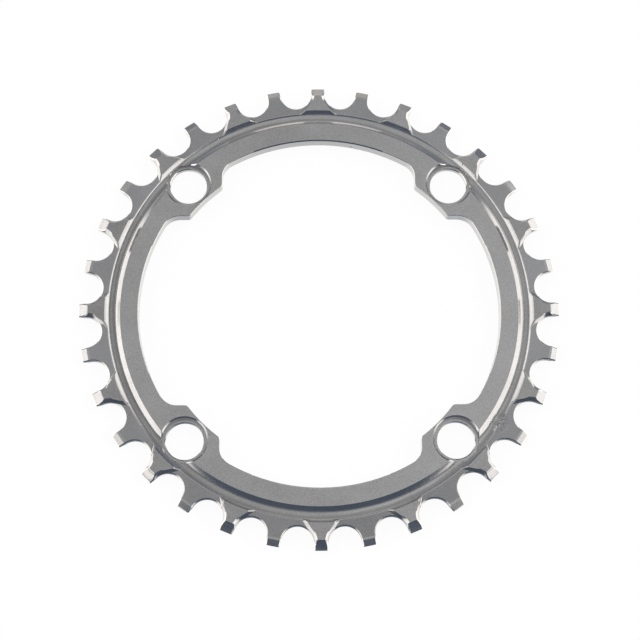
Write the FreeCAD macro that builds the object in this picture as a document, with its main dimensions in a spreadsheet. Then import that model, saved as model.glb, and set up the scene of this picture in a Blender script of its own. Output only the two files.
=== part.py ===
"""Bicycle chainring with alternating wide and narrow teeth, milled from one plate.

Millimetres, +Z up. The origin is on the ring's axis, on the back face, so the ring
lies on Z = 0 with its front face up. A wide tooth points along +X.
"""
import FreeCAD, Part
import math
import os

import Sketcher

from FreeCAD import Placement, Rotation, Vector

NODE = "chainring"

# Driving dimensions. Radii that belong to the teeth are heights above or depths below
# the pitch circle, so they follow the chain's pitch and the number of teeth.
SIZES = {
    "chain_pitch": 12.7,
    "tooth_count": 32,
    "plate_thickness": 3.5,
    "narrow_thickness": 2.0,
    "seat_radius": 4.43,
    "flank_angle": 8.0,
    "tip_height": 1.83,
    "tip_land": 0.45,
    "shoulder_depth": 0.34,
    "shoulder_width": 2.44,
    "pad_end_depth": 0.84,
    "pad_neck_width": 2.5,
    "pad_flare_angle": 34.0,
    "pad_root_depth": 5.48,
    "side_relief_depth": 1.2,
    "side_relief_slope": 30.0,
    "side_relief_reach": 56.0,
    "low_face_depth": 5.88,
    "low_face_slope": 45.0,
    "groove_depth": 1.18,
    "groove_bend_depth": 8.63,
    "groove_bend_rise": 0.28,
    "groove_floor_depth": 7.78,
    "groove_floor_width": 0.55,
    "groove_knee_depth": 6.36,
    "groove_knee_rise": 0.3,
    "web_edge_depth": 9.78,
    "bevel_angle": 40.5,
    "bevel_drop": 0.45,
    "bay_rim_depth": 14.88,
    "bay_half_width": 27.2,
    "bay_corner_radius": 5.0,
    "bay_chamfer": 0.3,
    "bay_chamfer_angle": 43.0,
    "tab_margin": 6.7,
    "tab_corner_radius": 1.2,
    "bolt_circle_diameter": 104.0,
    "bolt_count": 4,
    "bolt_hole_diameter": 10.3,
    "counterbore_diameter": 12.2,
    "counterbore_depth": 1.9,
    "counterbore_chamfer": 0.4,
    "cutter_clearance": 2.0,
}

# Formulas that several features share, in terms of the sheet.
HALF_STEP = "180 / Sizes.tooth_count"
PITCH_RADIUS = f"Sizes.chain_pitch / 2 / sin({HALF_STEP})"
TIP_RADIUS = f"({PITCH_RADIUS} + Sizes.tip_height)"
CLEAR_RADIUS = f"({TIP_RADIUS} + Sizes.cutter_clearance)"
FLOOR_RADIUS = f"({PITCH_RADIUS} - Sizes.groove_floor_depth)"
LOW_FACE_RADIUS = f"({PITCH_RADIUS} - Sizes.low_face_depth)"
BAY_RADIUS = f"({PITCH_RADIUS} - Sizes.bay_rim_depth)"
BOLT_RADIUS = "Sizes.bolt_circle_diameter / 2"
TAB_RADIUS = f"({BOLT_RADIUS} - Sizes.tab_margin)"
MID_PLANE = "Sizes.plate_thickness / 2"
LOW_FACE_DROP = "(Sizes.plate_thickness - Sizes.narrow_thickness) / 2"
SEAT_REACH = f"{PITCH_RADIUS} * cos({HALF_STEP})"
PAD_SIDE_RADIUS = "(Sizes.chain_pitch - Sizes.pad_neck_width) / 2"
UP = Vector(0, 0, 1)
X_AXIS, Y_AXIS = -1, -2
START, END, CENTRE = 1, 2, 3
ORIGIN = (X_AXIS, START)

doc = FreeCAD.newDocument("Chainring")


def make_sheet():
    """The spreadsheet of driving dimensions, one named row each."""
    sheet = doc.addObject("Spreadsheet::Sheet", "Sizes")
    for row, (name, value) in enumerate(SIZES.items(), start=1):
        sheet.set(f"A{row}", name)
        sheet.set(f"B{row}", str(value))
        sheet.setAlias(f"B{row}", name)
    doc.recompute()
    return sheet


sheet = make_sheet()
body = doc.addObject("PartDesign::Body", "Ring")
body.Label = NODE


def number(formula):
    """The value of a formula at the sheet's present sizes."""
    value = sheet.evalExpression(formula.replace("Sizes.", ""))
    return float(getattr(value, "Value", value))


def origin_feature(role):
    """One of the body's own planes or axes."""
    return next(item for item in body.Origin.OriginFeatures if item.Role == role)


def new_sketch(name, plane, level=None, turn=None):
    """A sketch on an origin plane, raised to a level and turned about Z by formulas."""
    sketch = body.newObject("Sketcher::SketchObject", name)
    sketch.AttachmentSupport = [(origin_feature(plane), "")]
    sketch.MapMode = "FlatFace"
    if turn:
        sketch.AttachmentOffset = Placement(Vector(), Rotation(UP, number(turn)))
        sketch.setExpression("AttachmentOffset.Rotation.Angle", f"{turn} * 1 deg")
    if level:
        sketch.setExpression("AttachmentOffset.Base.z", level)
    return sketch


def drive(sketch, kind, *items):
    """Add a dimension whose value follows a formula, the last item given."""
    *places, formula = items
    value = number(formula)
    if kind == "Angle":
        value, formula = math.radians(value), f"({formula}) * 1 deg"
    index = sketch.addConstraint(Sketcher.Constraint(kind, *places, value))
    sketch.setExpression(f"Constraints[{index}]", formula)


def place(sketch, line, end, across=None, along=None):
    """Hold a point at a distance from the sketch's axes, given as formulas."""
    for kind, axis, formula in (("DistanceX", Y_AXIS, across), ("DistanceY", X_AXIS, along)):
        if formula == "0":
            sketch.addConstraint(Sketcher.Constraint("PointOnObject", line, end, axis))
        elif formula:
            drive(sketch, kind, *ORIGIN, line, end, formula)


def line_between(sketch, first, second):
    """Add a straight line through two points of the sketch."""
    return sketch.addGeometry(Part.LineSegment(Vector(*first, 0), Vector(*second, 0)), False)


def arc_about(sketch, centre, radius, first, last):
    """Add an arc that runs anticlockwise between two angles in degrees."""
    circle = Part.Circle(Vector(*centre, 0), UP, radius)
    arc = Part.ArcOfCircle(circle, math.radians(first), math.radians(last))
    return sketch.addGeometry(arc, False)


def polar(radius, angle, centre=(0.0, 0.0)):
    """A point at a radius and an angle in degrees about a centre."""
    turn = math.radians(angle)
    return centre[0] + radius * math.cos(turn), centre[1] + radius * math.sin(turn)


def join(sketch, *ends):
    """Make two ends meet, or meet smoothly where a kind is given first."""
    kind = "Coincident"
    if isinstance(ends[0], str):
        kind, *ends = ends
    sketch.addConstraint(Sketcher.Constraint(kind, *ends))


def polygon(sketch, corners):
    """A closed outline of straight lines with every corner held by two formulas."""
    points = [(number(across), number(along)) for across, along in corners]
    lines = [line_between(sketch, point, points[(index + 1) % len(points)])
             for index, point in enumerate(points)]
    for index, line in enumerate(lines):
        join(sketch, line, END, lines[(index + 1) % len(lines)], START)
        place(sketch, line, START, *corners[index])


def finish(feature):
    """Recompute and stop if the feature is in error."""
    doc.recompute()
    if {"Invalid", "Error"} & set(feature.State) or feature.Shape.isNull():
        raise RuntimeError(f"{feature.Name} failed: {feature.State}")
    return feature


def cut_pocket(name, sketch, depth, slope=None, upward=False):
    """Pocket a sketch to a depth, with walls that lean in by a slope from upright."""
    before = body.Shape.Volume
    pocket = body.newObject("PartDesign::Pocket", name)
    pocket.Profile = sketch
    pocket.Reversed = upward
    pocket.setExpression("Length", depth)
    if slope:
        pocket.setExpression("TaperAngle", f"-{slope} * 1 deg")
    finish(pocket)
    if body.Shape.Volume >= before:
        raise RuntimeError(f"{name} removed nothing")
    return pocket


def cut_groove(name, sketch, angle):
    """Cut a sketch round its own upright axis, centred on the sketch's plane."""
    before = body.Shape.Volume
    groove = body.newObject("PartDesign::Groove", name)
    groove.Profile = sketch
    groove.ReferenceAxis = (sketch, ["V_Axis"])
    groove.Midplane = True
    groove.setExpression("Angle", f"{angle} * 1 deg")
    finish(groove)
    if body.Shape.Volume >= before:
        raise RuntimeError(f"{name} removed nothing")
    return groove


def repeat_round(name, features, count):
    """Repeat features evenly about the ring's axis."""
    pattern = body.newObject("PartDesign::PolarPattern", name)
    pattern.Originals = features
    pattern.Axis = (origin_feature("Z_Axis"), [""])
    pattern.Angle = 360
    pattern.Occurrences = round(number(count))
    pattern.setExpression("Occurrences", count)
    body.Tip = pattern
    return finish(pattern)


def turn_ring():
    """Turn the blank: web, bevel, rounded groove, wide-tooth pads and tips."""
    sketch = new_sketch("RingSection", "XZ_Plane")
    thick, floor = "Sizes.plate_thickness", "(Sizes.plate_thickness - Sizes.groove_depth)"
    web_edge = f"({PITCH_RADIUS} - Sizes.web_edge_depth)"
    bevel_end = f"({web_edge} + Sizes.bevel_drop / tan(Sizes.bevel_angle))"
    bend = f"({PITCH_RADIUS} - Sizes.groove_bend_depth)"
    knee = f"({PITCH_RADIUS} - Sizes.groove_knee_depth)"
    pad_root = f"({PITCH_RADIUS} - Sizes.pad_root_depth)"
    pad_end = f"({PITCH_RADIUS} - Sizes.pad_end_depth)"
    shoulder = f"({PITCH_RADIUS} - Sizes.shoulder_depth)"
    polygon(sketch, [
        (TAB_RADIUS, "0"), (TAB_RADIUS, thick), (web_edge, thick),
        (bevel_end, f"{thick} - Sizes.bevel_drop"), (bend, f"{floor} + Sizes.groove_bend_rise"),
        (FLOOR_RADIUS, floor), (f"({FLOOR_RADIUS} + Sizes.groove_floor_width)", floor),
        (knee, f"{floor} + Sizes.groove_knee_rise"), (pad_root, thick), (pad_end, thick),
        (shoulder, f"{MID_PLANE} + Sizes.shoulder_width / 2"),
        (TIP_RADIUS, f"{MID_PLANE} + Sizes.tip_land / 2"),
        (TIP_RADIUS, f"{MID_PLANE} - Sizes.tip_land / 2"),
        (shoulder, f"{MID_PLANE} - Sizes.shoulder_width / 2"), (pad_end, "0"),
    ])
    ring = body.newObject("PartDesign::Revolution", "TurnedRing")
    ring.Profile = sketch
    ring.ReferenceAxis = (sketch, ["V_Axis"])
    ring.Angle = 360
    return finish(ring)


def mill_bays():
    """Cut the four wide bays that leave the bolt tabs standing, and round the tabs."""
    sketch = new_sketch("BayOutline", "XY_Plane", level="Sizes.plate_thickness")
    radius, half = number(BAY_RADIUS), number("Sizes.bay_half_width")
    corner = number("Sizes.bay_corner_radius")
    back = f"sqrt({TAB_RADIUS} ^ 2 - Sizes.bay_half_width ^ 2) - Sizes.cutter_clearance"
    side = half - corner
    reach = math.sqrt((radius - corner) ** 2 - side ** 2)
    angle = math.degrees(math.atan2(side, reach))
    start = number(back)
    closing = line_between(sketch, (start, -half), (start, half))
    upper_flank = line_between(sketch, (start, half), (reach, half))
    upper_corner = arc_about(sketch, (reach, side), corner, angle, 90)
    rim = arc_about(sketch, (0, 0), radius, -angle, angle)
    lower_corner = arc_about(sketch, (reach, -side), corner, -90, -angle)
    lower_flank = line_between(sketch, (reach, -half), (start, -half))
    join(sketch, closing, END, upper_flank, START)
    join(sketch, "Tangent", upper_flank, END, upper_corner, END)
    join(sketch, "Tangent", upper_corner, START, rim, END)
    join(sketch, "Tangent", rim, START, lower_corner, END)
    join(sketch, "Tangent", lower_corner, START, lower_flank, START)
    join(sketch, lower_flank, END, closing, START)
    join(sketch, rim, CENTRE, *ORIGIN)
    drive(sketch, "Radius", rim, BAY_RADIUS)
    for arc in (upper_corner, lower_corner):
        drive(sketch, "Radius", arc, "Sizes.bay_corner_radius")
    place(sketch, closing, START, back, "-Sizes.bay_half_width")
    place(sketch, closing, END, back, "Sizes.bay_half_width")
    for flank in (upper_flank, lower_flank):
        sketch.addConstraint(Sketcher.Constraint("Horizontal", flank))
    bay = cut_pocket("Bay", sketch, "Sizes.plate_thickness")
    bays = repeat_round("Bays", [bay], "Sizes.bolt_count")

    tab_radius = number(TAB_RADIUS)
    corners = [f"Edge{index}" for index, edge in enumerate(bays.Shape.Edges, start=1)
               if len(edge.Vertexes) == 2 and all(abs(math.hypot(v.X, v.Y) - tab_radius) < 1e-4
                                                  for v in edge.Vertexes)
               and abs(edge.Vertexes[0].Z - edge.Vertexes[1].Z) > 1]
    rounding = body.newObject("PartDesign::Fillet", "TabCorners")
    rounding.Base = (bays, corners)
    rounding.setExpression("Radius", "Sizes.tab_corner_radius")
    return finish(rounding)


def bore_bolt_holes():
    """Bore the bolt holes with a counterbore and a broken rim, one in each tab."""
    sketch = new_sketch("BoltSection", "XZ_Plane")
    half_turn = "180 / Sizes.bolt_count"
    sketch.setExpression("AttachmentOffset.Base.x", f"{BOLT_RADIUS} * cos({half_turn})")
    sketch.setExpression("AttachmentOffset.Base.z", f"-{BOLT_RADIUS} * sin({half_turn})")
    hole, bore = "Sizes.bolt_hole_diameter / 2", "Sizes.counterbore_diameter / 2"
    thick, above = "Sizes.plate_thickness", "Sizes.plate_thickness + Sizes.cutter_clearance"
    shelf = f"{thick} - Sizes.counterbore_depth"
    below = "-Sizes.cutter_clearance"
    mouth = f"{bore} + Sizes.counterbore_chamfer"
    polygon(sketch, [
        ("0", below), (hole, below), (hole, shelf), (bore, shelf),
        (bore, f"{thick} - Sizes.counterbore_chamfer"), (mouth, thick), (mouth, above),
        ("0", above),
    ])
    return repeat_round("BoltHoles", [cut_groove("BoltHole", sketch, "360")],
                        "Sizes.bolt_count")


def chamfer_bays():
    """Break the middle stretch of each bay's front rim with a short chamfer."""
    sketch = new_sketch("RimChamferSection", "XZ_Plane")
    gap, thick = "Sizes.cutter_clearance", "Sizes.plate_thickness"
    inner, outer = f"{BAY_RADIUS} - {gap}", f"{BAY_RADIUS} + Sizes.bay_chamfer + {gap}"
    polygon(sketch, [(inner, f"{thick} - Sizes.bay_chamfer - {gap}"), (outer, f"{thick} + {gap}"),
                     (inner, f"{thick} + {gap}")])
    chamfer_cut = cut_groove("RimChamfer", sketch, "Sizes.bay_chamfer_angle")
    return repeat_round("RimChamfers", [chamfer_cut], "Sizes.bolt_count")


def low_face_outline(name, level, root):
    """Outline about a narrow tooth, from the pad of one wide neighbour to the other."""
    sketch = new_sketch(name, "XY_Plane", level, f"2 * {HALF_STEP}")
    neck_slope = f"(2 * {HALF_STEP})"
    base_slope = f"(2 * {HALF_STEP} + Sizes.pad_flare_angle)"
    turn = (f"({SEAT_REACH} - {PAD_SIDE_RADIUS} * sin{base_slope})",
            f"(Sizes.chain_pitch / 2 + {PAD_SIDE_RADIUS} * cos{base_slope})")
    rise = f"({CLEAR_RADIUS} - {turn[0]}) * tan{neck_slope}"
    along = f"({turn[0]} * cos{base_slope} + {turn[1]} * sin{base_slope})"
    back = f"({along} - sqrt({along} ^ 2 + {root} ^ 2 - {turn[0]} ^ 2 - {turn[1]} ^ 2))"
    foot = (f"{turn[0]} - {back} * cos{base_slope}", f"({turn[1]} - {back} * sin{base_slope})")
    side = [(CLEAR_RADIUS, f"({turn[1]} + {rise})"), turn, foot]
    mirrored = [(across, f"-{height}") for across, height in reversed(side)]
    polygon(sketch, side + [(root, "0")] + mirrored)
    return sketch


def mill_low_faces():
    """Thin the narrow teeth from both sides down to sloped walls round the wide pads."""
    depth = LOW_FACE_DROP
    count = "Sizes.tooth_count / 2"
    front = low_face_outline("FrontLowOutline", "Sizes.plate_thickness", FLOOR_RADIUS)
    front = cut_pocket("FrontLowFace", front, depth, "Sizes.low_face_slope")
    repeat_round("FrontLowFaces", [front], count)
    run = f"{depth} * tan(Sizes.low_face_slope)"
    back = low_face_outline("BackLowOutline", "0", f"({LOW_FACE_RADIUS} - {run})")
    back = cut_pocket("BackLowFace", back, depth, "Sizes.low_face_slope", upward=True)
    return repeat_round("BackLowFaces", [back], count)


def side_outline(name, level):
    """Outline of the two steep reliefs beside a wide tooth's neck, open to its gaps."""
    sketch = new_sketch(name, "XY_Plane", level)
    radius, half_neck = number(PAD_SIDE_RADIUS), number("Sizes.pad_neck_width / 2")
    reach, outside = number("Sizes.side_relief_reach"), number(CLEAR_RADIUS)
    for hand in (1, -1):
        seat = (number(SEAT_REACH), hand * number("Sizes.chain_pitch / 2"))
        first, last = sorted((-90 * hand - reach * hand, -90 * hand))
        neck, end = ((seat[0], hand * half_neck), polar(radius, -90 * hand - reach * hand, seat))
        neck_line = line_between(sketch, (outside, neck[1]), neck)
        side = arc_about(sketch, seat, radius, first, last)
        side_neck, side_end = (END, START) if hand == 1 else (START, END)
        inward = line_between(sketch, end, seat)
        along = line_between(sketch, seat, (outside, seat[1]))
        mouth = line_between(sketch, (outside, seat[1]), (outside, neck[1]))
        join(sketch, "Tangent", neck_line, END, side, side_neck)
        join(sketch, side, side_end, inward, START)
        join(sketch, inward, END, along, START)
        join(sketch, inward, END, side, CENTRE)
        join(sketch, along, END, mouth, START)
        join(sketch, mouth, END, neck_line, START)
        sketch.addConstraint(Sketcher.Constraint("Horizontal", neck_line))
        sketch.addConstraint(Sketcher.Constraint("Horizontal", along))
        sketch.addConstraint(Sketcher.Constraint("Vertical", mouth))
        sign = "" if hand == 1 else "-"
        place(sketch, side, CENTRE, SEAT_REACH, f"{sign}Sizes.chain_pitch / 2")
        drive(sketch, "Radius", side, PAD_SIDE_RADIUS)
        place(sketch, mouth, START, CLEAR_RADIUS)
        place(sketch, inward, START,
              f"{SEAT_REACH} - {PAD_SIDE_RADIUS} * sin(Sizes.side_relief_reach)")
    return sketch


def mill_wide_sides():
    """Slope the sides of the wide teeth from their neck down past the low face."""
    count = "Sizes.tooth_count / 2"
    for side, level, upward in (("Front", "Sizes.plate_thickness", False), ("Back", "0", True)):
        sketch = side_outline(f"{side}SideOutline", level)
        cut = cut_pocket(f"{side}SideRelief", sketch, "Sizes.side_relief_depth",
                         "Sizes.side_relief_slope", upward)
        pattern = repeat_round(f"{side}SideReliefs", [cut], count)
    return pattern


def mill_tooth_gaps():
    """Cut the roller seats: a round bottom on the pitch circle and flared flanks."""
    sketch = new_sketch("GapOutline", "XY_Plane", "Sizes.plate_thickness", HALF_STEP)
    centre = (number(PITCH_RADIUS), 0)
    radius, flare = number("Sizes.seat_radius"), number("Sizes.flank_angle")
    outside = number(CLEAR_RADIUS)
    upper = polar(radius, 90 + flare, centre)
    lower = polar(radius, -90 - flare, centre)
    rise = (outside - upper[0]) * math.tan(math.radians(flare))
    seat = arc_about(sketch, centre, radius, 90 + flare, 270 - flare)
    upper_flank = line_between(sketch, upper, (outside, upper[1] + rise))
    mouth = line_between(sketch, (outside, upper[1] + rise), (outside, lower[1] - rise))
    lower_flank = line_between(sketch, (outside, lower[1] - rise), lower)
    join(sketch, "Tangent", seat, START, upper_flank, START)
    join(sketch, upper_flank, END, mouth, START)
    join(sketch, mouth, END, lower_flank, START)
    join(sketch, "Tangent", lower_flank, END, seat, END)
    place(sketch, seat, CENTRE, PITCH_RADIUS, "0")
    drive(sketch, "Radius", seat, "Sizes.seat_radius")
    drive(sketch, "Angle", X_AXIS, START, upper_flank, START, "Sizes.flank_angle")
    place(sketch, mouth, START, CLEAR_RADIUS)
    sketch.addConstraint(Sketcher.Constraint("Symmetric", mouth, START, mouth, END, X_AXIS))
    gap = cut_pocket("ToothGap", sketch, "Sizes.plate_thickness")
    return repeat_round("ToothGaps", [gap], "Sizes.tooth_count")


def check_document():
    """Stop if any object is in error or the body is not one sound solid."""
    doc.recompute()
    for item in doc.Objects:
        if {"Invalid", "Error"} & set(item.State):
            raise RuntimeError(f"{item.Name} is {item.State}")
    shape = body.Shape
    if shape.isNull() or not shape.isValid() or len(shape.Solids) != 1:
        raise RuntimeError(f"{body.Label} is not one sound solid")


turn_ring()
mill_bays()
bore_bolt_holes()
chamfer_bays()
mill_low_faces()
mill_wide_sides()
mill_tooth_gaps()
check_document()
os.makedirs("parts", exist_ok=True)
body.Shape.exportStep(f"parts/{body.Label}.step")
print(f"{body.Label}: {body.Shape.Volume / 1000:.3f} cm3, {len(body.Shape.Faces)} faces")
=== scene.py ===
import math

import bmesh
import bpy
from bpy.props import FloatProperty, FloatVectorProperty, PointerProperty
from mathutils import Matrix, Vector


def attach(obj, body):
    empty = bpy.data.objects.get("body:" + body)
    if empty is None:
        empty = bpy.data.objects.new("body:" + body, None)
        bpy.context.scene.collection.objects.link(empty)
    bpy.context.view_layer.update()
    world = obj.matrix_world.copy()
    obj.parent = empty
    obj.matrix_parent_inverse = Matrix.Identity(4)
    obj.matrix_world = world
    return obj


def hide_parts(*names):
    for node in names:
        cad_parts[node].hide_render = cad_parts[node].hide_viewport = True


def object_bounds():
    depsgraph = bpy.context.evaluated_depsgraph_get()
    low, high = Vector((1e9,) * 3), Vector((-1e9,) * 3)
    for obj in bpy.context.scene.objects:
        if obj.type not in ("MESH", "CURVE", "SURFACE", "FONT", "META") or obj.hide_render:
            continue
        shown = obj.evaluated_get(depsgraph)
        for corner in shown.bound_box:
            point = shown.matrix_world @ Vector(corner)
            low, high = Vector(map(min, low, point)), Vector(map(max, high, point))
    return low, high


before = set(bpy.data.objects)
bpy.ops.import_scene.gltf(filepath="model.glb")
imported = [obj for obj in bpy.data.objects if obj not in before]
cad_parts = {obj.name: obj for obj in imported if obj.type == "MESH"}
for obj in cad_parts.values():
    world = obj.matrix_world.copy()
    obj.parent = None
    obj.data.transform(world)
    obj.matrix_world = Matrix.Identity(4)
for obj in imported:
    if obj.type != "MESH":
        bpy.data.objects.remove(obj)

bl_info = {
    "name": "Chainring Studio",
    "version": (1, 0, 0),
    "blender": (4, 5, 0),
    "location": "3D View > Sidebar > Chainring",
    "description": "Finishes a 32-tooth chainring with broken edges and a satin grey anodised coat",
    "category": "Object",
}

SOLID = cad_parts["chainring"]
SOLID_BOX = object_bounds()

# Lengths are in metres. Radii are measured from the ring's axis, depths down from its front face.
FRONT_FACE = SOLID_BOX[1].z
WEB_RADIUS = 0.055005           # the flat web and the bays end here
TIP_RADIUS = 0.0660             # the blunt lands of the teeth start here
LIP_START = 0.05496             # the slope from the web down to the groove
LIP_END = 0.05625
BEND = (0.0568, 0.0564)         # the soft bend at the lip's foot fades between these radii
GROOVE_END = 0.0583
TURNED = (0.0594, 0.0586)       # the marks of the lathe tool fade between these radii
PAD_START = 0.0588
TIP_START = 0.0643
GROOVE_DEPTH = 0.0016           # deeper faces don't belong to the lip or the groove
STEP_DEPTHS = (0.00066, 0.00073)    # the mask of the low faces grows between these depths
PAD_DEPTHS = (0.0005, 0.0002)       # the mask of the raised faces grows between these depths

# How the machined solid's triangles are merged
SAME_CORNER = 0.00012
FLAT_TURN = math.radians(0.6)
SLIVER = 0.000001

# Heights of the bumps in the anodised coat
FACE_GRAIN = 0.000004
EDGE_GRAIN = 0.000002
TOOL_MARK = 0.0000025
DENT = 0.0003

# The rubbed spot lies in the groove beside one bolt hole, and fades between two distances from this point
RUB_CENTER = (0.0487, -0.0322, 0.0040)
RUB_REACH = (0.0034, 0.0015)

# The direction in which the pads and the low faces darken
RIGHT_FRONT = (0.4, -0.92, 0.0)

# How much the metal's tone changes: zone of the ring, what it changes with, and by what share.
# Sideways, Rearmost and Frontmost grow toward both sides, the rear and the right front. Across runs from
# -1 at the left to 1 at the right, and Shade differs from tooth to tooth.
# The rows with Sideways, Rearmost and Across are painted light and shade. The pads, bend and groove are painted
# darker toward both sides, the lip is painted lighter toward the rear, and the groove is painted lighter to the
# right. Shade is tone that differs at random. The Frontmost rows darken the pads and the low faces toward the
# right front.
TONE_AND_PAINTED_LIGHT = (
    ("Steps", "Shade", 0.2),
    ("Pads", "Sideways", -0.2),
    ("Bend", "Sideways", -0.3),
    ("Groove", "Sideways", -0.22),
    ("Lip", "Rearmost", 0.6),
    ("Steps", "Frontmost", -0.2),
    ("Pads", "Frontmost", -0.07),
    ("Groove", "Across", 0.12),
)

# Panels of the studio: name, setting with its colour, and then, in degrees,
# the azimuth of the middle, half the width, the lowest edge, the highest edge and the softness of the edges.
# Each one covers those before it.
PANELS = (
    ("Rear Wall", "rear_wall_color", 79.0, 41.0, -80.0, 28.0, 8.0),
    ("Rear Card", "rear_card_color", 90.0, 17.0, -60.0, 26.0, 9.0),
    ("Front Card", "front_card_color", -91.0, 47.0, -80.0, 80.0, 7.0),
    ("Right Panel", "side_color", 6.5, 39.5, -80.0, 42.0, 2.5),
    ("Right Head", "side_color", 3.0, 43.5, 21.0, 42.0, 2.5),
    ("Right Foot", "side_color", -5.0, 39.5, -80.0, 11.0, 2.5),
    ("Left Panel", "side_color", 171.0, 35.0, -80.0, 42.0, 2.5),
    ("Left Head", "side_color", 178.0, 42.5, 21.0, 42.0, 2.5),
    ("Left Foot", "side_color", 186.0, 39.5, -80.0, 11.5, 2.5),
)

# Elevations in degrees between which parts of the studio fade
FRONT_CARD_FADE = (68.0, 43.0)
UPPER_WALL_FADE = (70.0, 52.0)
UNDERNEATH_FADE = (-45.0, -66.0)

# The ceiling changes to the right and to the left between these sideways parts of a direction.
# There and on the upper walls it has these shares of its colour.
CEILING_TO_RIGHT = (-0.02, 0.16)
CEILING_TO_LEFT = (0.02, -0.16)
RIGHT_CEILING = 1.5
LEFT_CEILING = 1.2
UPPER_WALL = 0.84

# The shade straight below grows as a direction's Z, with this share of its Y added, falls between two values
FOOT_LEAN = 0.1
FOOT_FADE = (-0.969, -0.988)

# The camera sees this share of even white on the floor. The rest is matt white, which keeps the shadow.
FLOOR_WHITE = 1.03
FLOOR_WHITE_SHARE = 0.90
WHITE = (1.0, 1.0, 1.0, 1.0)


class ChainringFinish(bpy.types.PropertyGroup):
    """Sizes and colours of the finished ring"""

    edge_break: FloatProperty(
        name="Edge Break", description="Width of the flat that tumbling leaves on a square edge",
        default=0.00025, min=0.00001, max=0.0003, unit="LENGTH", precision=5)
    web_share: FloatProperty(
        name="Web Share",
        description="Width of the flat on the square edges of the web, as a share of the edge break",
        default=0.45, min=0.0, max=1.0, subtype="FACTOR")
    tip_share: FloatProperty(
        name="Tip Share",
        description="Width of the flat on the edges of the tooth tips, as a share of the edge break",
        default=0.85, min=0.0, max=1.0, subtype="FACTOR")
    square_turn: FloatProperty(
        name="Square Turn", description="Angle between two faces from which their edge is broken",
        default=math.radians(50.0), min=0.0, max=math.pi, subtype="ANGLE")
    short_edge: FloatProperty(
        name="Short Edge", description="Length up to which an edge of a tooth is left as it was cut",
        default=0.0005, min=0.0, max=0.002, unit="LENGTH", precision=5)
    smooth_turn: FloatProperty(
        name="Smooth Turn", description="Angle between two faces up to which they shade as one surface",
        default=math.radians(21.0), min=0.0, max=math.pi, subtype="ANGLE")
    hollow_turn: FloatProperty(
        name="Hollow Turn", description="Angle up to which a hollow corner shades as one surface",
        default=math.radians(28.0), min=0.0, max=math.pi, subtype="ANGLE")
    metal_color: FloatVectorProperty(
        name="Anodised Grey", description="Colour of the satin grey anodised aluminium",
        default=(0.452, 0.452, 0.456), min=0.0, max=1.0, size=3, subtype="COLOR")
    milled_color: FloatVectorProperty(
        name="Milled Grey", description="Colour of the anodised steps that an end mill left beside the teeth",
        default=(0.385, 0.387, 0.394), min=0.0, max=1.0, size=3, subtype="COLOR")
    edge_color: FloatVectorProperty(
        name="Edge Grey", description="Colour of the coat on the broken edges, where it is thinnest",
        default=(0.56, 0.555, 0.55), min=0.0, max=1.0, size=3, subtype="COLOR")
    satin_roughness: FloatProperty(
        name="Satin Roughness", description="Roughness of the anodised faces",
        default=0.21, min=0.0, max=1.0, subtype="FACTOR")
    edge_roughness: FloatProperty(
        name="Edge Roughness", description="Roughness of the broken edges",
        default=0.2, min=0.0, max=1.0, subtype="FACTOR")
    grain_size: FloatProperty(
        name="Grain Size", description="Size of one speck of the satin grain",
        default=0.0003, min=0.00005, max=0.002, unit="LENGTH", precision=5)
    turning_pitch: FloatProperty(
        name="Turning Pitch", description="Distance between two marks of the lathe tool",
        default=0.00016, min=0.00005, max=0.002, unit="LENGTH", precision=5)


class ChainringStudio(bpy.types.PropertyGroup):
    """Floor, light and camera round the ring"""

    floor_color: FloatVectorProperty(
        name="Floor", description="Colour of the plain pale floor",
        default=(0.93, 0.93, 0.93), min=0.0, max=1.0, size=3, subtype="COLOR")
    floor_size: FloatProperty(
        name="Floor Size", description="Length of each side of the floor",
        default=6.0, min=0.5, max=50.0, unit="LENGTH")
    ceiling_color: FloatVectorProperty(
        name="Ceiling", description="Colour of the dim ceiling that the flat faces mirror",
        default=(0.545, 0.545, 0.548), min=0.0, max=4.0, size=3, subtype="COLOR")
    side_color: FloatVectorProperty(
        name="Side Panels", description="Colour and strength of the two soft panels beside the ring",
        default=(2.02, 1.95, 1.88), min=0.0, max=4.0, size=3, subtype="COLOR")
    rear_card_color: FloatVectorProperty(
        name="Rear Card", description="Colour of the grey card behind the ring",
        default=(0.84, 0.80, 0.77), min=0.0, max=4.0, size=3, subtype="COLOR")
    rear_wall_color: FloatVectorProperty(
        name="Rear Wall", description="Colour of the dark blue wall behind the grey card",
        default=(0.28, 0.305, 0.355), min=0.0, max=4.0, size=3, subtype="COLOR")
    front_card_color: FloatVectorProperty(
        name="Front Card", description="Colour of the dark blue card in front of the ring",
        default=(0.13, 0.157, 0.205), min=0.0, max=4.0, size=3, subtype="COLOR")
    under_color: FloatVectorProperty(
        name="Underneath", description="Colour of the white floor as the ring mirrors it",
        default=(1.2, 1.19, 1.17), min=0.0, max=4.0, size=3, subtype="COLOR")
    foot_color: FloatVectorProperty(
        name="Foot Shade", description="Colour of the shade at the ring's foot as its upright walls mirror it",
        default=(0.11, 0.15, 0.23), min=0.0, max=4.0, size=3, subtype="COLOR")
    camera_place: FloatVectorProperty(
        name="Camera Place", description="Where the camera stands",
        default=(-0.0074906, -0.1260068, 0.4235126), size=3, subtype="TRANSLATION", unit="LENGTH",
        precision=5)
    camera_turn: FloatVectorProperty(
        name="Camera Turn", description="Which way the camera is turned",
        default=(math.radians(16.28984), math.radians(-0.90518), math.radians(-0.43659)),
        size=3, subtype="EULER", unit="ROTATION")
    camera_lens: FloatProperty(
        name="Lens", description="Focal length of the camera in millimetres",
        default=89.36, min=10.0, max=400.0)


def place_node(tree, kind, title, **settings):
    """Adds one shader node with its settings."""
    made = tree.nodes.new(kind)
    made.label = title
    for name, value in settings.items():
        setattr(made, name, value)
    return made


def set_sockets(made, **values):
    """Sets input sockets by their names, with spaces written as underscores."""
    for name, value in values.items():
        made.inputs[name.replace("_", " ")].default_value = value
    return made


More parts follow.
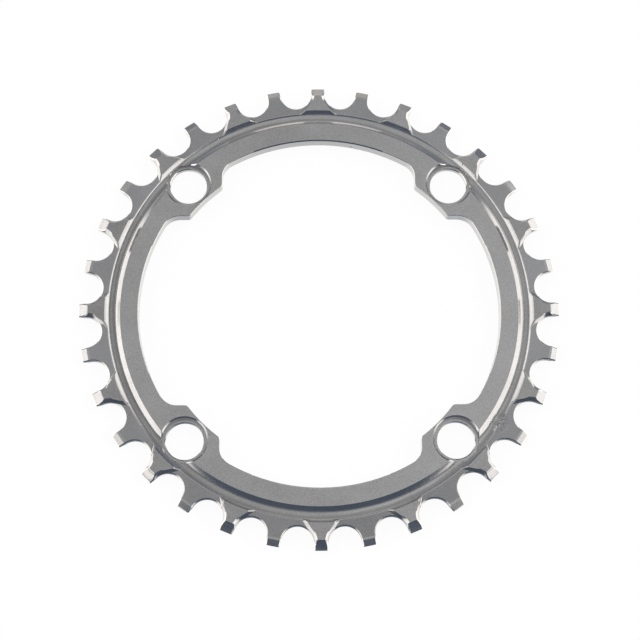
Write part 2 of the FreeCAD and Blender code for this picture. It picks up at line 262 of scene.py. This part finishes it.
def number(tree, operation, first, second=None, third=None, title="", clamp=False):
    """Adds a Math node. Each term is a number or a socket."""
    made = place_node(tree, "ShaderNodeMath", title, operation=operation, use_clamp=clamp)
    for slot, term in enumerate((first, second, third)):
        if term is None:
            continue
        if isinstance(term, (int, float)):
            made.inputs[slot].default_value = term
        else:
            tree.links.new(term, made.inputs[slot])
    return made.outputs[0]


def ease(tree, value, low, high, title):
    """Adds a smooth step from 0 at low to 1 at high."""
    made = place_node(tree, "ShaderNodeMapRange", title, interpolation_type="SMOOTHSTEP")
    set_sockets(made, From_Min=low, From_Max=high)
    tree.links.new(value, made.inputs["Value"])
    return made.outputs["Result"]


def ease_angle(tree, angle, low, high, title):
    """Adds a smooth step on an angle. Low and high are in degrees."""
    return ease(tree, angle, math.radians(low), math.radians(high), title)


def blend_color(tree, mask, under, over, title):
    """Adds a colour Mix node. The mask is a socket, under and over are sockets or colours."""
    made = place_node(tree, "ShaderNodeMix", title, data_type="RGBA", clamp_factor=True)
    for slot, term in ((0, mask), (6, under), (7, over)):
        if isinstance(term, bpy.types.NodeSocket):
            tree.links.new(term, made.inputs[slot])
        else:
            made.inputs[slot].default_value = (*term, 1.0)
    return made.outputs[2]


def blend_shaders(tree, share, under, over, title):
    """Adds a Mix Shader node."""
    made = place_node(tree, "ShaderNodeMixShader", title)
    for slot, socket in enumerate((share, under, over)):
        tree.links.new(socket, made.inputs[slot])
    return made.outputs[0]


def new_group(name, inputs, outputs):
    """Starts a shader node group of plain values. Inputs are pairs of name and default, outputs are names."""
    group = bpy.data.node_groups.new(name, "ShaderNodeTree")
    for title, default in inputs:
        socket = group.interface.new_socket(title, in_out="INPUT", socket_type="NodeSocketFloat")
        socket.default_value = default
    for title in outputs:
        group.interface.new_socket(title, in_out="OUTPUT", socket_type="NodeSocketFloat")
    start = place_node(group, "NodeGroupInput", "In")
    end = place_node(group, "NodeGroupOutput", "Out")
    return group, start.outputs, end.inputs


def put_out(group, end, **values):
    """Links values to the group's outputs of those names."""
    for name, value in values.items():
        group.links.new(value, end[name])


def place_on_ring(group):
    """Adds the place on the ring."""
    return place_node(group, "ShaderNodeTexCoord", "Place on Ring").outputs["Object"]


def from_axis(group, place):
    """Adds the X, Y and Z of a place, its vector from the ring's axis and its radius."""
    split = place_node(group, "ShaderNodeSeparateXYZ", "Split")
    group.links.new(place, split.inputs[0])
    flat = place_node(group, "ShaderNodeCombineXYZ", "Across the Axis")
    group.links.new(split.outputs["X"], flat.inputs["X"])
    group.links.new(split.outputs["Y"], flat.inputs["Y"])
    radius = place_node(group, "ShaderNodeVectorMath", "Radius", operation="LENGTH")
    group.links.new(flat.outputs[0], radius.inputs[0])
    return split.outputs, flat.outputs[0], radius.outputs["Value"]


def noise(group, place, title, **values):
    """Adds a Noise Texture node that reads the place on the ring."""
    made = set_sockets(place_node(group, "ShaderNodeTexNoise", title), **values)
    group.links.new(place, made.inputs["Vector"])
    return made


def about_zero(group, value, title):
    """Shifts a noise from between 0 and 1 to both sides of zero."""
    return number(group, "SUBTRACT", value, 0.5, title=title)


def satin_grain_group():
    """Fine satin grain of an etched and anodised face, over a faint cloudiness."""
    group, start, end = new_group(
        "Satin Grain", [("Grain Size", 0.0002), ("Cloudiness", 0.5)], ["Tone", "Height"])
    place = place_on_ring(group)
    specks = noise(group, place, "Specks", Detail=2.0, Roughness=0.6)
    fineness = number(group, "DIVIDE", 1.0, start["Grain Size"], title="Specks per Metre")
    group.links.new(fineness, specks.inputs["Scale"])
    cloud = noise(group, place, "Cloud", Scale=90.0, Detail=3.0, Roughness=0.55)
    speck_part = about_zero(group, specks.outputs["Fac"], "Specks about Zero")
    cloud_part = about_zero(group, cloud.outputs["Fac"], "Cloud about Zero")
    cloud_part = number(group, "MULTIPLY", cloud_part, start["Cloudiness"], title="Cloud Share")
    put_out(
        group, end, Tone=number(group, "ADD", speck_part, cloud_part, title="Grain Tone"),
        Height=specks.outputs["Fac"])
    return group


def turning_marks_group():
    """Concentric marks of the lathe tool on the faces that were turned, broken up by the tumbling."""
    group, start, end = new_group("Turning Marks", [("Pitch", 0.00016)], ["Tone", "Height"])
    place = place_on_ring(group)
    radius = from_axis(group, place)[2]
    marks = set_sockets(
        place_node(group, "ShaderNodeTexNoise", "Marks", noise_dimensions="1D"),
        Scale=1.0, Detail=3.0, Roughness=0.7)
    turns = number(group, "DIVIDE", radius, start["Pitch"], title="Tool Passes")
    group.links.new(turns, marks.inputs["W"])
    worn = noise(group, place, "Broken Up", Scale=260.0, Detail=2.0)
    shown = ease(group, worn.outputs["Fac"], 0.35, 0.65, "Where Marks Show")
    turned = ease(group, radius, *TURNED, "Turned Area")
    cut = about_zero(group, marks.outputs["Fac"], "Marks about Zero")
    cut = number(group, "MULTIPLY", cut, shown, title="Marks Left")
    cut = number(group, "MULTIPLY", cut, turned, title="Marks on Turned Area")
    put_out(group, end, Tone=cut, Height=cut)
    return group


def cutter_zones_group():
    """Masks of the areas that different cutters left, and how far a place lies to the side, rear or front."""
    group, start, end = new_group(
        "Cutter Zones",
        [("Front Face", 0.0035), ("Lip Start", LIP_START), ("Lip End", LIP_END),
         ("Groove End", GROOVE_END), ("Pad Start", PAD_START), ("Tip Start", TIP_START)],
        ["Lip", "Bend", "Groove", "Pads", "Steps", "Sideways", "Across", "Rearmost", "Frontmost", "Shade"])
    place = place_on_ring(group)
    split, flat, radius = from_axis(group, place)
    depth = number(group, "SUBTRACT", start["Front Face"], split["Z"], title="Depth")
    in_front = number(group, "LESS_THAN", depth, GROOVE_DEPTH, title="In Front")
    past_web, past_lip, past_groove, past_pad_root = (
        number(group, "GREATER_THAN", radius, start[limit], title="Past " + limit)
        for limit in ("Lip Start", "Lip End", "Groove End", "Pad Start"))
    lip = number(group, "SUBTRACT", past_web, past_lip, title="Lip Ring")
    groove = number(group, "SUBTRACT", past_lip, past_groove, title="Groove Ring")
    bend = number(group, "MULTIPLY", groove, ease(group, radius, *BEND, "Before Floor"), title="Bend Ring")
    lip, groove, bend = (
        number(group, "MULTIPLY", ring, in_front, title="On the Front") for ring in (lip, groove, bend))
    raised = ease(group, depth, *PAD_DEPTHS, "At Front Face")
    pads = number(group, "MULTIPLY", past_pad_root, raised, title="Raised Face")
    sunk = ease(group, depth, *STEP_DEPTHS, "At Low Face")
    before_tip = number(group, "LESS_THAN", radius, start["Tip Start"], title="Before Tip")
    steps = number(group, "MULTIPLY", past_pad_root, sunk, title="Low Face")
    steps = number(group, "MULTIPLY", steps, before_tip, title="Low Face before Tip")
    across = number(group, "DIVIDE", split["X"], radius, title="Across")
    sideways = number(group, "MULTIPLY", across, across, title="Sideways")
    rearward = number(group, "DIVIDE", split["Y"], radius, title="Toward the Rear", clamp=True)
    rearmost = number(group, "POWER", rearward, 4.0, title="Rearmost")
    forward = place_node(group, "ShaderNodeVectorMath", "Toward the Right Front", operation="DOT_PRODUCT")
    forward.inputs[1].default_value = RIGHT_FRONT
    group.links.new(flat, forward.inputs[0])
    forward = number(
        group, "DIVIDE", forward.outputs["Value"], radius, title="Share to the Front", clamp=True)
    frontmost = number(group, "POWER", forward, 2.0, title="Frontmost")
    patches = noise(group, place, "Tooth to Tooth", Scale=55.0, Detail=1.0)
    put_out(
        group, end, Lip=lip, Bend=bend, Groove=groove, Pads=pads, Steps=steps, Sideways=sideways,
        Across=across, Rearmost=rearmost, Frontmost=frontmost,
        Shade=about_zero(group, patches.outputs["Fac"], "Shade"))
    return group


def dings_group():
    """Fine dents in one rubbed spot in the groove, and a few shallow specks all over."""
    group, start, end = new_group("Dings", [("Amount", 1.0)], ["Height", "Mask", "Tone"])
    place = place_on_ring(group)
    away = place_node(group, "ShaderNodeVectorMath", "From the Rubbed Spot", operation="DISTANCE")
    away.inputs[1].default_value = RUB_CENTER
    group.links.new(place, away.inputs[0])
    spot = ease(group, away.outputs["Value"], *RUB_REACH, "Rubbed Spot")
    dents = noise(group, place, "Dents", Scale=1100.0, Detail=2.0, Roughness=0.6).outputs["Fac"]
    dented = number(group, "MULTIPLY", dents, spot, title="Dents in Spot")
    cells = set_sockets(place_node(group, "ShaderNodeTexVoronoi", "Scattered Specks"), Scale=190.0)
    group.links.new(place, cells.inputs["Vector"])
    specks = ease(group, cells.outputs["Distance"], 0.075, 0.03, "Specks")
    specks = number(group, "MULTIPLY", specks, 0.17, title="Shallow Specks")
    height = number(group, "SUBTRACT", dented, specks, title="Dents and Specks")
    rub = about_zero(group, dents, "Rubs about Zero")
    put_out(
        group, end, Height=number(group, "MULTIPLY", height, start["Amount"], title="Amount"), Mask=spot,
        Tone=number(group, "MULTIPLY", rub, spot, title="Rubs in Spot"))
    return group


def use_group(tree, group, title, **values):
    """Places a node group in a material, sets its inputs and gives its outputs."""
    return set_sockets(place_node(tree, "ShaderNodeGroup", title, node_tree=group), **values).outputs


def add_bump(tree, height, strength, distance, title, under=None):
    """Adds a Bump node, over another normal where one is given."""
    made = set_sockets(place_node(tree, "ShaderNodeBump", title), Strength=strength, Distance=distance)
    tree.links.new(height, made.inputs["Height"])
    if under is not None:
        tree.links.new(under, made.inputs["Normal"])
    return made.outputs[0]


def metal_material(name, color, milled, roughness, grain_depth, finish, groups):
    """Anodised aluminium with satin grain, turning marks, milled steps, dings, and light and shade painted by
    place.
    """
    material = bpy.data.materials.new(name)
    material.use_nodes = True
    tree = material.node_tree
    tree.nodes.clear()
    shader = set_sockets(
        place_node(tree, "ShaderNodeBsdfPrincipled", "Anodised Aluminium"), Metallic=1.0)
    out = place_node(tree, "ShaderNodeOutputMaterial", "Surface")
    tree.links.new(shader.outputs[0], out.inputs["Surface"])
    grain = use_group(tree, groups["grain"], "Satin Grain", Grain_Size=finish.grain_size, Cloudiness=0.45)
    marks = use_group(tree, groups["marks"], "Turning Marks", Pitch=finish.turning_pitch)
    zones = use_group(tree, groups["zones"], "Cutter Zones", Front_Face=FRONT_FACE)
    dings = use_group(tree, groups["dings"], "Dings", Amount=1.0)

    tone = 1.0
    for value, share, title in (
            (grain["Tone"], 0.7, "Grain in Colour"), (marks["Tone"], 0.10, "Marks in Colour"),
            (dings["Tone"], 1.3, "Rubs in Colour")):
        tone = number(tree, "MULTIPLY_ADD", value, share, tone, title=title)
    # Painted light and shade: most of these rows make zones lighter or darker by where they lie around the ring
    for zone, change, share in TONE_AND_PAINTED_LIGHT:
        part = number(tree, "MULTIPLY", zones[zone], zones[change], title=zone + " Part")
        tone = number(tree, "MULTIPLY_ADD", part, share, tone, title=zone + " in Colour")
    base = blend_color(tree, zones["Steps"], color, milled, "Milled or Turned")
    toned = place_node(tree, "ShaderNodeVectorMath", "Toned Colour", operation="SCALE")
    tree.links.new(base, toned.inputs[0])
    tree.links.new(tone, toned.inputs["Scale"])
    tree.links.new(toned.outputs[0], shader.inputs["Base Color"])

    rough = number(tree, "MULTIPLY_ADD", grain["Tone"], 0.12, roughness, title="Grain in Roughness")
    rough = number(tree, "MULTIPLY_ADD", zones["Steps"], 0.04, rough, title="Steps are Rougher")
    rough = number(tree, "MULTIPLY_ADD", zones["Lip"], -0.03, rough, title="Lip is Smoother")
    rough = number(tree, "MULTIPLY_ADD", dings["Mask"], 0.08, rough, title="Rub is Rougher", clamp=True)
    tree.links.new(rough, shader.inputs["Roughness"])

    normal = add_bump(tree, grain["Height"], 0.35, grain_depth, "Grain Bump")
    normal = add_bump(tree, marks["Height"], 0.5, TOOL_MARK, "Turning Bump", normal)
    normal = add_bump(tree, dings["Height"], 1.0, DENT, "Ding Bump", normal)
    tree.links.new(normal, shader.inputs["Normal"])
    return material


def mark_sharp_edges(mesh, outward, inward):
    """Makes the faces smooth, except at rims of broken edges and where they turn by more than the two angles."""
    work = bmesh.new()
    work.from_mesh(mesh)
    bmesh.ops.dissolve_degenerate(work, dist=SLIVER, edges=work.edges)
    for face in work.faces:
        face.smooth = True
    for edge in work.edges:
        one_finish = len({face.material_index for face in edge.link_faces}) == 1
        edge.smooth = one_finish and -inward <= edge.calc_face_angle_signed(0.0) <= outward
    work.to_mesh(mesh)
    work.free()


def break_share(edge, finish):
    """How wide the flat on an edge is, as a share of the edge break."""
    if edge.calc_face_angle_signed(0.0) <= finish.square_turn:
        return 0.0
    radius = min(math.hypot(*corner.co.xy) for corner in edge.verts)
    if radius < WEB_RADIUS:
        return finish.web_share
    if radius > TIP_RADIUS:
        return finish.tip_share
    return 1.0 if edge.calc_length() > finish.short_edge else 0.0


class CHAINRING_OT_make_ring(bpy.types.Operator):
    """Makes the finished ring over its machined solid, with broken edges and a satin anodised coat"""

    bl_idname = "chainring.make_ring"
    bl_label = "Make Finished Ring"

    def execute(self, context):
        finish = context.scene.chainring_finish
        work = bmesh.new()
        work.from_mesh(SOLID.data)
        bmesh.ops.remove_doubles(work, verts=work.verts, dist=SAME_CORNER)
        bmesh.ops.dissolve_limit(
            work, angle_limit=FLAT_TURN, use_dissolve_boundaries=False, verts=work.verts, edges=work.edges)
        if not work.faces:
            raise RuntimeError("the ring's solid has no faces")
        mesh = bpy.data.meshes.new("finished_ring")
        work.to_mesh(mesh)
        # Normals stored with the solid don't fit the broken edges
        if "custom_normal" in mesh.attributes:
            mesh.attributes.remove(mesh.attributes["custom_normal"])
        breaks = mesh.attributes.new("bevel_weight_edge", "FLOAT", "EDGE")
        for edge in work.edges:
            breaks.data[edge.index].value = break_share(edge, finish)
        work.free()
        groups = {
            "grain": satin_grain_group(), "marks": turning_marks_group(),
            "zones": cutter_zones_group(), "dings": dings_group()}
        mesh.materials.append(metal_material(
            "Satin Grey Anodised", finish.metal_color, finish.milled_color, finish.satin_roughness,
            FACE_GRAIN, finish, groups))
        mesh.materials.append(metal_material(
            "Broken Edge Anodised", finish.edge_color, finish.edge_color, finish.edge_roughness,
            EDGE_GRAIN, finish, groups))
        ring = bpy.data.objects.new("finished_ring", mesh)
        context.scene.collection.objects.link(ring)
        flats = ring.modifiers.new("Edge Break", "BEVEL")
        flats.width = finish.edge_break
        flats.segments = 1
        flats.limit_method = "WEIGHT"
        flats.material = 1
        flats.use_clamp_overlap = False
        ring.data = bpy.data.meshes.new_from_object(ring.evaluated_get(context.evaluated_depsgraph_get()))
        ring.modifiers.clear()
        mark_sharp_edges(ring.data, finish.smooth_turn, finish.hollow_turn)
        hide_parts("chainring")
        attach(ring, "root")
        return {"FINISHED"}


def floor_material(color):
    """Plain white floor: it keeps the ring's shadow, and is clear from below."""
    material = bpy.data.materials.new("Plain White Floor")
    material.use_nodes = True
    tree = material.node_tree
    tree.nodes.clear()
    matt = set_sockets(place_node(tree, "ShaderNodeBsdfDiffuse", "Matt White"), Color=(*color, 1.0))
    glow = set_sockets(place_node(tree, "ShaderNodeEmission", "White"), Color=WHITE, Strength=FLOOR_WHITE)
    clear = place_node(tree, "ShaderNodeBsdfTransparent", "Clear")
    rays = place_node(tree, "ShaderNodeLightPath", "Rays").outputs
    side = place_node(tree, "ShaderNodeNewGeometry", "Side")
    seen = number(tree, "MAXIMUM", rays["Is Camera Ray"], rays["Is Glossy Ray"], title="Seen or Mirrored")
    seen = number(tree, "MAXIMUM", seen, rays["Is Transmission Ray"], title="Seen, Mirrored or Through")
    share = number(tree, "MULTIPLY", seen, FLOOR_WHITE_SHARE, title="Share of White")
    above = blend_shaders(tree, share, matt.outputs[0], glow.outputs[0], "White with Shadow")
    either = blend_shaders(tree, side.outputs["Backfacing"], above, clear.outputs[0], "Above or Below")
    out = place_node(tree, "ShaderNodeOutputMaterial", "Surface")
    tree.links.new(either, out.inputs["Surface"])
    return material


def panel_mask(tree, azimuth, elevation, title, middle, half, low, high, soft):
    """Mask of one soft panel of the studio. Its measures are in degrees, as in the list of panels."""
    offset = number(tree, "SUBTRACT", azimuth, math.radians(middle), title=title + " Offset")
    wrapped = number(tree, "WRAP", offset, math.pi, -math.pi, title=title + " Wrapped")
    away = number(tree, "ABSOLUTE", wrapped, title=title + " Away")
    wide = ease_angle(tree, away, half + soft, half - soft, title + " Width")
    above = ease_angle(tree, elevation, low - soft, low + soft, title + " Lower Edge")
    below = ease_angle(tree, elevation, high + soft, high - soft, title + " Upper Edge")
    tall = number(tree, "MULTIPLY", above, below, title=title + " Height")
    return number(tree, "MULTIPLY", wide, tall, title=title)


def studio_world(studio):
    """Soft studio that the metal mirrors: a dim ceiling, bright side panels, and cards behind and in front.

    The camera sees plain white instead.
    """
    world = bpy.data.worlds.new("Soft Studio")
    world.use_nodes = True
    tree = world.node_tree
    tree.nodes.clear()
    way = place_node(tree, "ShaderNodeTexCoord", "Direction").outputs["Generated"]
    split = place_node(tree, "ShaderNodeSeparateXYZ", "Split")
    tree.links.new(way, split.inputs[0])
    x, y, z = split.outputs
    azimuth = number(tree, "ARCTAN2", y, x, title="Azimuth")
    elevation = number(tree, "ARCSINE", z, title="Elevation")

    def ceiling_at(strength):
        return [part * strength for part in studio.ceiling_color]

    shade = studio.ceiling_color
    for mask, strength, title in (
            (ease(tree, x, *CEILING_TO_RIGHT, "Toward the Right"), RIGHT_CEILING, "Ceiling to the Right"),
            (ease(tree, x, *CEILING_TO_LEFT, "Toward the Left"), LEFT_CEILING, "Ceiling to the Left"),
            (ease_angle(tree, elevation, *UPPER_WALL_FADE, "Below the Ceiling"), UPPER_WALL, "Upper Walls")):
        shade = blend_color(tree, mask, shade, ceiling_at(strength), title)
    for title, color, *measures in PANELS:
        mask = panel_mask(tree, azimuth, elevation, title, *measures)
        if title == "Front Card":
            fade = ease_angle(tree, elevation, *FRONT_CARD_FADE, "Front Card Fades Upward")
            mask = number(tree, "MULTIPLY", mask, fade, title="Front Card Faded")
        shade = blend_color(tree, mask, shade, getattr(studio, color), "With " + title)
    underneath = ease_angle(tree, elevation, *UNDERNEATH_FADE, "Down")
    shade = blend_color(tree, underneath, shade, studio.under_color, "With Underneath")
    leaning = number(tree, "MULTIPLY_ADD", y, FOOT_LEAN, z, title="Down and Forward")
    foot = ease(tree, leaning, *FOOT_FADE, "Foot of the Ring")
    shade = blend_color(tree, foot, shade, studio.foot_color, "With Foot Shade")

    lit = place_node(tree, "ShaderNodeBackground", "Studio")
    tree.links.new(shade, lit.inputs["Color"])
    plain = set_sockets(place_node(tree, "ShaderNodeBackground", "Plain White"), Color=WHITE)
    rays = place_node(tree, "ShaderNodeLightPath", "Rays").outputs
    seen = number(tree, "MAXIMUM", rays["Is Camera Ray"], rays["Is Transmission Ray"], title="Seen or Through")
    either = blend_shaders(tree, seen, lit.outputs[0], plain.outputs[0], "Seen or Lighting")
    out = place_node(tree, "ShaderNodeOutputWorld", "World")
    tree.links.new(either, out.inputs["Surface"])
    return world


class CHAINRING_OT_set_stage(bpy.types.Operator):
    """Lays the plain floor, lights the studio and stands the camera where the photograph was taken"""

    bl_idname = "chainring.set_stage"
    bl_label = "Set Stage"

    def execute(self, context):
        scene = context.scene
        studio = scene.chainring_studio
        work = bmesh.new()
        bmesh.ops.create_grid(work, x_segments=1, y_segments=1, size=studio.floor_size / 2)
        mesh = bpy.data.meshes.new("floor")
        work.to_mesh(mesh)
        work.free()
        mesh.materials.append(floor_material(studio.floor_color))
        floor = bpy.data.objects.new("floor", mesh)
        scene.collection.objects.link(floor)
        floor.visible_glossy = False
        scene.world = studio_world(studio)
        scene.view_settings.view_transform = "Standard"
        lens = bpy.data.cameras.new("Camera")
        lens.sensor_width = 36.0
        lens.lens = studio.camera_lens
        lens.clip_start = 0.01
        camera = bpy.data.objects.new("Camera", lens)
        camera.location = studio.camera_place
        camera.rotation_euler = studio.camera_turn
        scene.collection.objects.link(camera)
        scene.camera = camera
        return {"FINISHED"}


class CHAINRING_PT_panel(bpy.types.Panel):
    """Lists the chainring's settings and steps"""

    bl_idname = "CHAINRING_PT_panel"
    bl_label = "Chainring"
    bl_space_type = "VIEW_3D"
    bl_region_type = "UI"
    bl_category = "Chainring"

    def draw(self, context):
        layout = self.layout
        for title, settings, step in (
                ("Ring", context.scene.chainring_finish, CHAINRING_OT_make_ring),
                ("Stage", context.scene.chainring_studio, CHAINRING_OT_set_stage)):
            box = layout.box()
            box.label(text=title)
            for name in settings.__annotations__:
                box.prop(settings, name)
            box.operator(step.bl_idname)


CLASSES = (
    ChainringFinish, ChainringStudio, CHAINRING_OT_make_ring, CHAINRING_OT_set_stage, CHAINRING_PT_panel)


def register():
    for each in CLASSES:
        bpy.utils.register_class(each)
    bpy.types.Scene.chainring_finish = PointerProperty(type=ChainringFinish)
    bpy.types.Scene.chainring_studio = PointerProperty(type=ChainringStudio)


def unregister():
    del bpy.types.Scene.chainring_studio
    del bpy.types.Scene.chainring_finish
    for each in reversed(CLASSES):
        bpy.utils.unregister_class(each)


def main():
    register()
    bpy.ops.chainring.set_stage()
    bpy.ops.chainring.make_ring()


if __name__ == "__main__":
    main()
